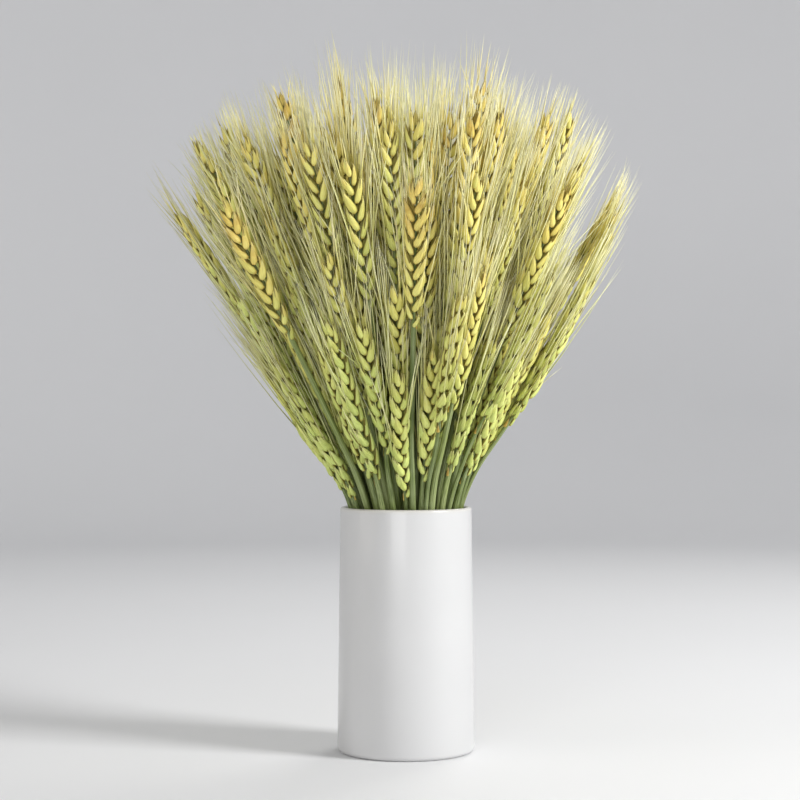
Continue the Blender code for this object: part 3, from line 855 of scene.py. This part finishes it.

# %% [markdown]
# ### Half-green wheat, dried
#
# Husks are thin and papery with a waxy skin: matt, with a faint highlight on the plump back. Wheat cut early
# keeps its green and turns yellow from the tips. Each husk carries how ripe it is, with some painted light on
# the right side of the bunch mixed in, and a chance number. The ramp goes from sage green to straw, to the
# gold of the few ears that ripened first, and to the brown of the stunted husks. Veins run lengthwise, a
# third of a millimetre apart, and the base where the husk sat on the ear is gold. The sides that tuck under
# the next husk get a painted shade of olive brown, for the shade that falls between overlapping husks, and it
# draws every husk's outline.

# %% The husk material
HUSK_SPECKS = 420.0             # specks to the metre
VEINS = (34.0, 2.5, 1.0)        # round the husk and along it
GREEN_TO_BROWN = [
    (0.0, "#D3E184"),
    (0.3, "#E8EA8C"),
    (0.52, "#F4EA8A"),
    (0.72, "#F6DF80"),
    (0.86, "#DCBB64"),
    (1.0, "#A58642"),
]

husk_stuff, tree, shader = new_material(
    "dried_wheat_husk", {"Roughness": 0.52, "IOR": 1.45, "Specular IOR Level": 0.30}
)
own = copy_values(tree)
specks = spread_noise(tree, object_places(tree), HUSK_SPECKS)
ripe_here = reckon(tree, "MULTIPLY_ADD", own["along"], 0.14, own["ripe"])
ripe_here = reckon(tree, "MULTIPLY_ADD", specks, 0.24, ripe_here)
skin = colour_ramp(tree, reckon(tree, "SUBTRACT", ripe_here, 0.19), GREEN_TO_BROWN)
skin = lay(tree, fade(tree, own["along"], 0.5, 1.0, 0.0, 0.5, "SMOOTHSTEP"), skin, "#F6F0B8")
skin = lay(tree, fade(tree, own["along"], 0.0, 0.15, 0.65, 0.0, "SMOOTHSTEP"), skin, "#C0912E")
veins = spread_noise(tree, stretch(tree, own["wrap"], VEINS), 1.0, detail=1.0)
skin = lay(tree, fade(tree, veins, 0.45, 0.70, 0.0, 0.40), skin, "#C2B766", "MULTIPLY")
skin = lay(tree, fade(tree, own["chance"], 0.2, 1.0, 0.0, 0.42), skin, "#C2BC78", "MULTIPLY")

# The map's width runs once round the husk, with the keel at three quarters. The painted shade covers the
# sides away from the keel, and is weaker again on the inner face.
from_keel = reckon(tree, "SUBTRACT", own["around"], 0.75)
from_keel = reckon(tree, "COSINE", reckon(tree, "MULTIPLY", from_keel, 2 * math.pi))
painted_tuck_shade = fade(tree, from_keel, 0.40, -0.10, 0.0, 0.90, "SMOOTHSTEP")
painted_tuck_shade = reckon(tree, "MULTIPLY", painted_tuck_shade, fade(tree, from_keel, -0.9, -0.2, 0.40, 1.0))
# The olive brown painted shade is laid over the skin here
surface(tree, shader, lay(tree, painted_tuck_shade, skin, "#6C5912"), veins, 0.7, 0.0004)
print("Husk material:", husk_stuff.name)

# %% [markdown]
# Awns are bare bristles of straw, a shade paler than the husks. Towards their tips they pale to cream: partly
# real bleaching, because the tips dry first, and partly painted light, for the light that the thin tips let
# through. Some have weathered to a dull straw, and the change from one to the next is what makes them read as
# single lines. Stems keep their bloom: a whitish wax over sage green, with fibres that run lengthwise and
# catch the light as fine streaks.

# %% The awn and stem materials
FIBRES = (16.0, 5.0, 1.0)       # round the stem and along it
BLOOM_PATCHES = 60.0            # patches to the metre

awn_stuff, tree, shader = new_material(
    "dried_wheat_awn", {"Roughness": 0.48, "IOR": 1.5, "Specular IOR Level": 0.30}
)
own = copy_values(tree)
green_to_gold = [(0.0, "#CCD477"), (0.45, "#E8E182"), (0.8, "#EFDC80"), (1.0, "#CCA656")]
straw = colour_ramp(tree, own["ripe"], green_to_gold)
straw = lay(tree, fade(tree, own["chance"], 0.5, 0.95, 0.0, 0.75, "SMOOTHSTEP"), straw, "#98873A")
# The tips fade to pale cream: real bleaching, and painted light for the light that they let through
surface(tree, shader, lay(tree, fade(tree, own["along"], 0.15, 1.0, 0.0, 0.8), straw, "#F6F4D2"))

stem_stuff, tree, shader = new_material("dried_wheat_stem", {"Roughness": 0.40, "IOR": 1.45})
own = copy_values(tree)
green = colour_ramp(tree, own["chance"], [(0.0, "#67773E"), (0.5, "#7C8B4B"), (1.0, "#9AA663")])
bloom = spread_noise(tree, object_places(tree), BLOOM_PATCHES)
green = lay(tree, fade(tree, bloom, 0.35, 0.75, 0.0, 0.6), green, "#ABB689")
fibres = spread_noise(tree, stretch(tree, own["wrap"], FIBRES), 1.0)
green = lay(tree, fade(tree, fibres, 0.40, 0.62, 0.0, 0.75), green, "#8C9560", "MULTIPLY")
surface(tree, shader, green, fibres, 0.4, 0.0003)
straw_stuffs = [husk_stuff, awn_stuff, stem_stuff]
print("Straw materials:", [stuff.name for stuff in straw_stuffs])

# %% [markdown]
# ## Growing the stalks
#
# A wheat ear is a zigzag axis with a spikelet at each turn, left and right by turns. From the front each
# spikelet shows one plump husk, its blunt base at the middle of the ear and its point up and out, and the two
# rows close into a plait. From the side it shows as a little fan. So each spikelet gets a front husk, a back
# husk and two between them at the side. Ears high in the bunch dried the most, and they gape: their husks
# are slimmer and lean out further.

# %% The husks of a spikelet
# Each row: across and out of the face (mm), rise (mm), lean across and lean out (degrees), the way that its
# back faces (degrees from the rank towards the face), length, width, and how likely it carries an awn.
SPIKELET = np.array(
    [
        (0.4, 1.75, 0.0, 25.0, -1.0, 64.0, 1.00, 1.00, 0.32),
        (0.4, -1.75, 0.0, 25.0, 1.0, -64.0, 1.00, 1.00, 0.32),
        (1.6, 0.60, 1.7, 22.0, 5.0, 20.0, 0.96, 0.88, 0.58),
        (1.6, -0.60, 2.3, 22.0, -5.0, -20.0, 0.96, 0.88, 0.58),
    ]
)
SPIKELET_PITCH = 0.0047
EAR_TOP_HUSK = 0.0110
HUSK_CURVE = 0.0017             # how far a husk's point has turned back towards the ear
WITHERED = [(-0.0035, 0.52), (-0.0075, 0.42), (-0.0125, 0.34)]      # drops below the ear, and sizes


def place_husks(stalk, starts, hands, form, swell, random):
    """Places, directions and sizes of husks, with one row of the spikelet table for each."""
    total = len(form)
    spots, rank, face, along = stalk.frames(starts + form[:, 2] * 0.001 * swell)
    rank = rank * hands[:, None]
    spots = spots + rank * (form[:, :1] * 0.001) * swell[:, None]
    spots = spots + face * (form[:, 1:2] * 0.001) * swell[:, None]
    lean = np.radians(form[:, 3] + random.normal(0, 2.5, total))
    out = np.radians(form[:, 4] + random.normal(0, 2.5, total))
    up = unit(along + rank * np.tan(lean)[:, None] + face * np.tan(out)[:, None])
    facing = np.radians(form[:, 5] + random.normal(0, 6, total))
    back = rank * np.cos(facing)[:, None] + face * np.sin(facing)[:, None]
    back = unit(back - up * (back * up).sum(axis=1)[:, None])
    across = np.cross(back, up)
    size = swell * (1 + random.normal(0, 0.05, total))
    sizes = np.stack([size * form[:, 7], size * form[:, 7], size * form[:, 6]], axis=1)
    curve = -rank * (HUSK_CURVE * size)[:, None]
    return {
        "spots": spots,
        "across": across,
        "back": back,
        "up": up,
        "sizes": sizes,
        "along": along,
        "rank": rank,
        "curve": curve,
        "awned": form[:, 8],
    }


def ear_husks(stalk, openness, random):
    """All husks of an ear, from the lowest spikelet to the top one. Open ears gape, on slimmer husks."""
    count = max(8, round((stalk.ear_length - EAR_TOP_HUSK) / SPIKELET_PITCH) + 1)
    share = np.repeat(np.arange(count) / (count - 1), len(SPIKELET))
    spikelet = np.repeat(np.arange(count), len(SPIKELET))
    starts = stalk.ear_base + share * (stalk.ear_length - EAR_TOP_HUSK)
    swell = np.interp(share, [0.0, 0.08, 0.25, 0.78, 0.93, 1.0], [0.60, 0.82, 1.0, 1.0, 0.86, 0.72])
    form = np.tile(SPIKELET, (count, 1))
    form[:, 3] *= np.interp(share, [0.0, 0.85, 1.0], [1.0, 1.0, 0.45]) * (0.95 + 0.18 * openness)
    form[:, 6] *= 1.0 + 0.06 * openness
    form[:, 7] *= 1.0 - 0.20 * openness
    form[:, 8] *= np.interp(share, [0.0, 0.6, 1.0], [0.9, 1.0, 1.35])
    husks = place_husks(stalk, starts, np.where(spikelet % 2 == 0, 1.0, -1.0), form, swell, random)
    husks["share"] = share
    return husks


def withered_husks(stalk, random):
    """The stunted husks that sit one above another on the bare stem below an ear."""
    drops = np.array([drop for drop, size in WITHERED])
    form = np.repeat(SPIKELET[2:3], len(WITHERED), axis=0)
    form[:, 0] = 0.9
    form[:, 3] = 9.0
    swell = np.array([size for drop, size in WITHERED]) * random.uniform(0.8, 1.15, len(WITHERED))
    hands = np.array([1.0, -1.0, 1.0]) * (1 if random.uniform() < 0.5 else -1)
    husks = place_husks(stalk, stalk.ear_base + drops, hands, form, swell, random)
    husks["share"] = np.zeros(len(WITHERED))
    return husks


def husk_points(master, husks):
    """Points of one copy of the master for each husk, with its point curved back towards the ear."""
    shaped = master.points[None] * husks["sizes"][:, None]
    bent = (master.points[:, 2] / HUSK_LENGTH) ** 2
    return (
        husks["spots"][:, None]
        + shaped[..., :1] * husks["across"][:, None]
        + shaped[..., 1:2] * husks["back"][:, None]
        + shaped[..., 2:] * husks["up"][:, None]
        + bent[None, :, None] * husks["curve"][:, None]
    )


# %% [markdown]
# Awns start at the points of the husks, leave them along the husk and then straighten up beside the ear. In
# this bunch they end a few centimetres beyond the ears, in a soft fringe, so each awn's length is cut where
# it would leave that outline. The fringe is deep in the middle and at the sides, and thin at the shoulders.


# %% Awns
AWN_RADIUS = 0.00038
AWN_TAPER = (1.0, 0.88, 0.68, 0.0)
AWN_LENGTH = (0.078, 0.012)     # middle and spread
AWN_BEYOND = (0.012, 0.036)     # how far awns reach past the tip of their ear
AWN_SPREAD = (6.0, 3.5)         # degrees from the ear, middle and spread
STRAY_SHARE = 0.04
STRAY_SPREAD = 15.0
AWN_START = 0.93                # how far up the husk an awn starts
AWN_LEAST = 0.012
AWN_STRAIGHTENS = 0.20          # share of its length over which an awn bends
FRINGE = (0.005, 0.026)         # beyond the dome of the ears
FRINGE_SLOPES = [12, 20, 28, 36]                    # degrees from the middle of the rim
FRINGE_SHARES = [1, 0.35, 0.35, 1]
SIDE_FRINGE = (0.003, 0.018)    # beyond the sides
SIDE_WIDEST = 0.126


def grow_awns(husks, stalk, random):
    """Points of the awns, one row of rings for each, and which husk each belongs to."""
    owner = np.flatnonzero(random.uniform(0, 1, len(husks["awned"])) < husks["awned"])
    up, along, back, rank = (husks[key][owner] for key in ("up", "along", "back", "rank"))
    long = HUSK_LENGTH * husks["sizes"][owner, 2]
    curve = husks["curve"][owner]
    tips = husks["spots"][owner] + up * (AWN_START * long)[:, None] + curve * AWN_START**2
    leave = unit(up * long[:, None] + curve * 2 * AWN_START)
    count = len(owner)
    spread = np.abs(random.normal(*AWN_SPREAD, count))
    spread = np.radians(spread + np.where(random.uniform(0, 1, count) < STRAY_SHARE, STRAY_SPREAD, 0))
    drift = random.normal(0, 0.45, (count, 1)) * np.cross(along, back)
    heading = unit(along + np.tan(spread)[:, None] * (0.8 * rank + 0.3 * back + drift))
    left = stalk.total - stalk.ear_base - husks["share"][owner] * stalk.ear_length
    length = np.minimum(random.normal(*AWN_LENGTH, count), left + random.uniform(*AWN_BEYOND, count))
    length = np.maximum(length, AWN_LEAST)

    # Awns stay inside the outline of the bunch
    ends = tips + heading * length[:, None]
    start_reach = np.linalg.norm(tips - RIM_MIDDLE, axis=1)
    end_reach = np.linalg.norm(ends - RIM_MIDDLE, axis=1)
    slope = np.degrees(np.arctan2(np.linalg.norm(ends[:, :2], axis=1), ends[:, 2] - VASE_HEIGHT))
    fringe = random.uniform(*FRINGE, count) * np.interp(slope, FRINGE_SLOPES, FRINGE_SHARES)
    most = dome_reach(ends) + fringe
    keep = np.clip((most - start_reach) / np.maximum(end_reach - start_reach, 1e-6), 0.15, 1)
    wide = np.linalg.norm(ends[:, :2] - np.outer(ends[:, 2] - VASE_HEIGHT, [LEAN, 0]), axis=1)
    room = np.minimum(bunch_radius(ends[:, 2]), SIDE_WIDEST) + random.uniform(*SIDE_FRINGE, count)
    keep = np.where(wide > room, keep * np.clip(room / wide, 0.3, 1) ** 4, keep)
    length = length * keep

    share = np.array([0.0, 1 / 3, 2 / 3, 1.0])[None, :, None]
    bend = tips[:, None] + leave[:, None] * (AWN_STRAIGHTENS * length)[:, None, None]
    final = bend + heading[:, None] * ((1 - AWN_STRAIGHTENS) * length)[:, None, None]
    final = final + random.normal(0, 0.02, (count, 1, 3)) * length[:, None, None]
    line = tips[:, None] * (1 - share) ** 2 + bend * 2 * share * (1 - share) + final * share**2
    ring = np.rint(awn_master.points[:, 2] * AWN_RINGS).astype(int)
    thick = AWN_RADIUS * np.array(AWN_TAPER)[ring]
    points = (
        line[:, ring]
        + husks["across"][owner][:, None] * (awn_master.points[:, 0] * thick)[None, :, None]
        + back[:, None] * (awn_master.points[:, 1] * thick)[None, :, None]
    )
    return points, owner


# %% Stems
RINGS_BELOW_RIM = 4
RINGS_IN_EAR = 6


def grow_stem(stalk, thickness):
    """Points of one stem: from the cut foot, past the rim, and on as the thin axis of the ear."""
    below = [stalk.gone[0], stalk.gone[1], -0.02, -0.008]
    bare = np.linspace(0.0, stalk.ear_base, STEM_RINGS - RINGS_BELOW_RIM - RINGS_IN_EAR)
    ear = np.linspace(stalk.ear_base + 0.003, stalk.total - 0.008, RINGS_IN_EAR)
    distances = np.concatenate([below, bare, ear])
    taper = [np.full(RINGS_BELOW_RIM, 0.96), np.linspace(1.0, 0.80, len(bare))]
    radius = np.concatenate(taper + [np.linspace(0.55, 0.3, RINGS_IN_EAR)])
    spots, rank, face, along = stalk.frames(distances)
    spots[0] = stalk.path[0]
    ring = np.rint(stem_master.points[:, 2] * (STEM_RINGS - 1)).astype(int)
    wide = radius[ring] * thickness
    return (
        spots[ring]
        + rank[ring] * (stem_master.points[:, 0] * wide)[:, None]
        + face[ring] * (stem_master.points[:, 1] * wide)[:, None]
    )


# %% [markdown]
# ## Ripeness
#
# Colour is what makes a bunch look real. Most ears are half green; some have turned straw yellow, and a few
# dried to gold. Ears get yellower towards their tips and towards the top of the bunch, where the sun reached
# them. Ears towards the right, where the key light falls, are made riper as well, which is painted light:
# they are yellower and lighter on the lit side. The lowest husks of an ear often wither brown.

# %% How ripe each ear is, with painted light on the right, and how far its husks gape
GOLDEN_PLACES = [(-0.003, 0.262), (-0.052, 0.330), (-0.118, 0.275)]      # across and up
GOLDEN = 0.54
STEM_RADII = (0.00178, FILL_STEM_RADIUS)
HIDDEN_SEATS = 0.45             # stalks further in than this show little but their tips

looks = np.random.default_rng(21)
everyone = stalks + fillers
middles = np.array([stalk.points(np.array([stalk.total - stalk.ear_length / 2]))[0] for stalk in everyone])

# Riper high in the bunch and in a patch at the middle, and riper towards the right as painted light
ripeness = 0.10 + 0.34 * np.clip((middles[:, 2] - 0.18) / 0.15, 0, 1) + looks.normal(0, 0.08, len(everyone))
# Painted light: ears on the lit right side are made riper, so yellower and lighter
ripeness += 0.10 * np.clip(middles[:, 0] / 0.10, -1, 1)
ripeness += 0.14 * np.exp(-((middles[:, 0] / 0.05) ** 2) - ((middles[:, 2] - 0.265) / 0.04) ** 2)

# The ear nearest to the front at each of these places went to gold
for x, z in GOLDEN_PLACES:
    near = np.hypot(middles[:, 0] - x, middles[:, 2] - z) + 0.4 * (middles[:, 1] - middles[:, 1].min())
    ripeness[np.argmin(near)] = GOLDEN

openness = 0.20 + 0.65 * np.clip((middles[:, 2] - 0.20) / 0.13, 0, 1) + looks.normal(0, 0.22, len(everyone))
openness = np.clip(openness, 0, 1)
print("Ripeness from", round(ripeness.min(), 2), "to", round(ripeness.max(), 2))


# %% Grow the stalks
def grow(number, sheaf):
    """Adds one whole stalk to a sheaf, and returns how many awns it has."""
    stalk = everyone[number]
    husks = ear_husks(stalk, openness[number], looks)
    count = len(husks["share"])
    ripe = ripeness[number] + 0.40 * (husks["share"] - 0.4) + looks.normal(0, 0.06, count)
    tones = np.stack([ripe, looks.uniform(0, 1, count), husks["share"], np.ones(count)], axis=1)
    hidden = number < STALK_COUNT and np.linalg.norm(seats[number]) < HIDDEN_SEATS
    master = plain_husk_master if hidden else husk_master
    sheaf.add(master, husk_points(master, husks), tones, 0)
    awns, owner = grow_awns(husks, stalk, looks)
    sheaf.add(awn_master, awns, tones[owner], 1)

    dead = withered_husks(stalk, looks)
    count = len(dead["share"])
    brown = looks.uniform(0.8, 1.0, count)
    tones = np.stack([brown, looks.uniform(0, 1, count), np.zeros(count), np.ones(count)], axis=1)
    sheaf.add(plain_husk_master, husk_points(plain_husk_master, dead), tones, 0)
    stem_tone = np.array([[ripeness[number], looks.uniform(0, 1), 0.0, 1.0]])
    thickness = STEM_RADII[0] if number < STALK_COUNT else STEM_RADII[1]
    sheaf.add(stem_master, grow_stem(stalk, thickness)[None], stem_tone, 2)
    return len(owner)


triangles = 0
awn_total = 0
for place, pair in enumerate(pairs):
    sheaf = Sheaf()
    for i in pair:
        awn_total += grow(i, sheaf)
    piece, faces = sheaf.make(f"wheat_pair_{place + 1:02d}", straw_stuffs)
    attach(piece, "root")
    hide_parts(f"wheat_stalks_{place + 1:02d}")
    triangles += faces
for place in range(FILL_COUNT):
    sheaf = Sheaf()
    awn_total += grow(STALK_COUNT + place, sheaf)
    piece, faces = sheaf.make(f"wheat_fill_{place + 1:02d}", straw_stuffs)
    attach(piece, "root")
    triangles += faces
print("Pairs:", len(pairs), "fillers:", FILL_COUNT, "awns:", awn_total, "triangles:", triangles)

# %% [markdown]
# ## The studio
#
# The vase stands on a plain pale floor that sweeps up far behind it, so that no edge shows. A soft light at
# the right and above gives the husks their small shadows and rounds the vase. Two weak ones fill from the
# front and the left, one from behind lights the fringe of awns, and pale air all round softens the rest.

# %% Floor
FLOOR_RADIUS = 1.6
SWEEP_RADIUS = 0.6
WALL_HEIGHT = 0.8

paper, tree, shader = new_material("studio_paper", {"Roughness": 0.7})
grain = spread_noise(tree, object_places(tree), 3.0)
surface(tree, shader, lay(tree, grain, hex_colour("#DFDFE0"), "#E2E2E3"))

deselect_all()
bpy.ops.mesh.primitive_circle_add(vertices=96, radius=FLOOR_RADIUS, fill_type="NGON", location=(0, 0, 0))
floor = bpy.context.object
floor.name = "studio_floor"
bpy.ops.object.mode_set(mode="EDIT")
pick(floor, "EDGE", lambda edge: True)
for step in range(1, 9):
    angle = step * math.pi / 16
    reach = FLOOR_RADIUS + SWEEP_RADIUS * math.sin(angle)
    before = FLOOR_RADIUS + SWEEP_RADIUS * math.sin(angle - math.pi / 16)
    rise = SWEEP_RADIUS * (math.cos(angle - math.pi / 16) - math.cos(angle))
    bpy.ops.mesh.extrude_edges_move(TRANSFORM_OT_translate={"value": (0, 0, rise)})
    bpy.ops.transform.resize(value=(reach / before, reach / before, 1), center_override=(0, 0, 0))
bpy.ops.mesh.extrude_edges_move(TRANSFORM_OT_translate={"value": (0, 0, WALL_HEIGHT)})
bpy.ops.object.mode_set(mode="OBJECT")
bpy.ops.object.shade_smooth_by_angle(angle=math.radians(40))
floor.data.materials.append(paper)
print("Floor size in m:", [round(d, 2) for d in floor.dimensions])


# %% Lights and camera
AIM = (0, 0, 0.22)              # the middle of the bunch, low down


def add_light(name, place, aim, size, power, colour):
    """A square soft light that looks at a point."""
    lamp = bpy.data.lights.new(name, "AREA")
    lamp.shape = "SQUARE"
    lamp.size = size
    lamp.energy = power
    lamp.color = hex_colour(colour)[:3]
    thing = bpy.data.objects.new(name, lamp)
    thing.location = place
    thing.rotation_euler = (Vector(aim) - Vector(place)).to_track_quat("-Z", "Y").to_euler()
    bpy.context.scene.collection.objects.link(thing)
    return thing


add_light("key_right", (1.30, -0.60, 0.90), AIM, 0.45, 24.5, "#FFFFFF")
add_light("fill_front", (-0.35, -1.50, 0.50), AIM, 0.7, 5.0, "#FFFFFF")
add_light("fill_left", (-1.35, -0.45, 0.55), AIM, 0.8, 2.3, "#FFF6EA")
add_light("back_top", (0.45, 0.95, 1.25), (0, 0, 0.3), 0.6, 6.0, "#FFFEFA")

world = bpy.data.worlds.new("studio_air")
world.use_nodes = True
bpy.context.scene.world = world
world.node_tree.nodes["Background"].inputs["Color"].default_value = hex_colour("#E8EAED")
world.node_tree.nodes["Background"].inputs["Strength"].default_value = 0.46

camera = bpy.data.objects.new("camera", bpy.data.cameras.new("camera"))
camera.data.lens = 88
camera.data.sensor_width = 36
camera.location = (-0.0033, -1.091, 0.1952)
camera.rotation_euler = (math.pi / 2, 0, 0)
bpy.context.scene.collection.objects.link(camera)
bpy.context.scene.camera = camera
bpy.context.scene.view_settings.view_transform = "Standard"
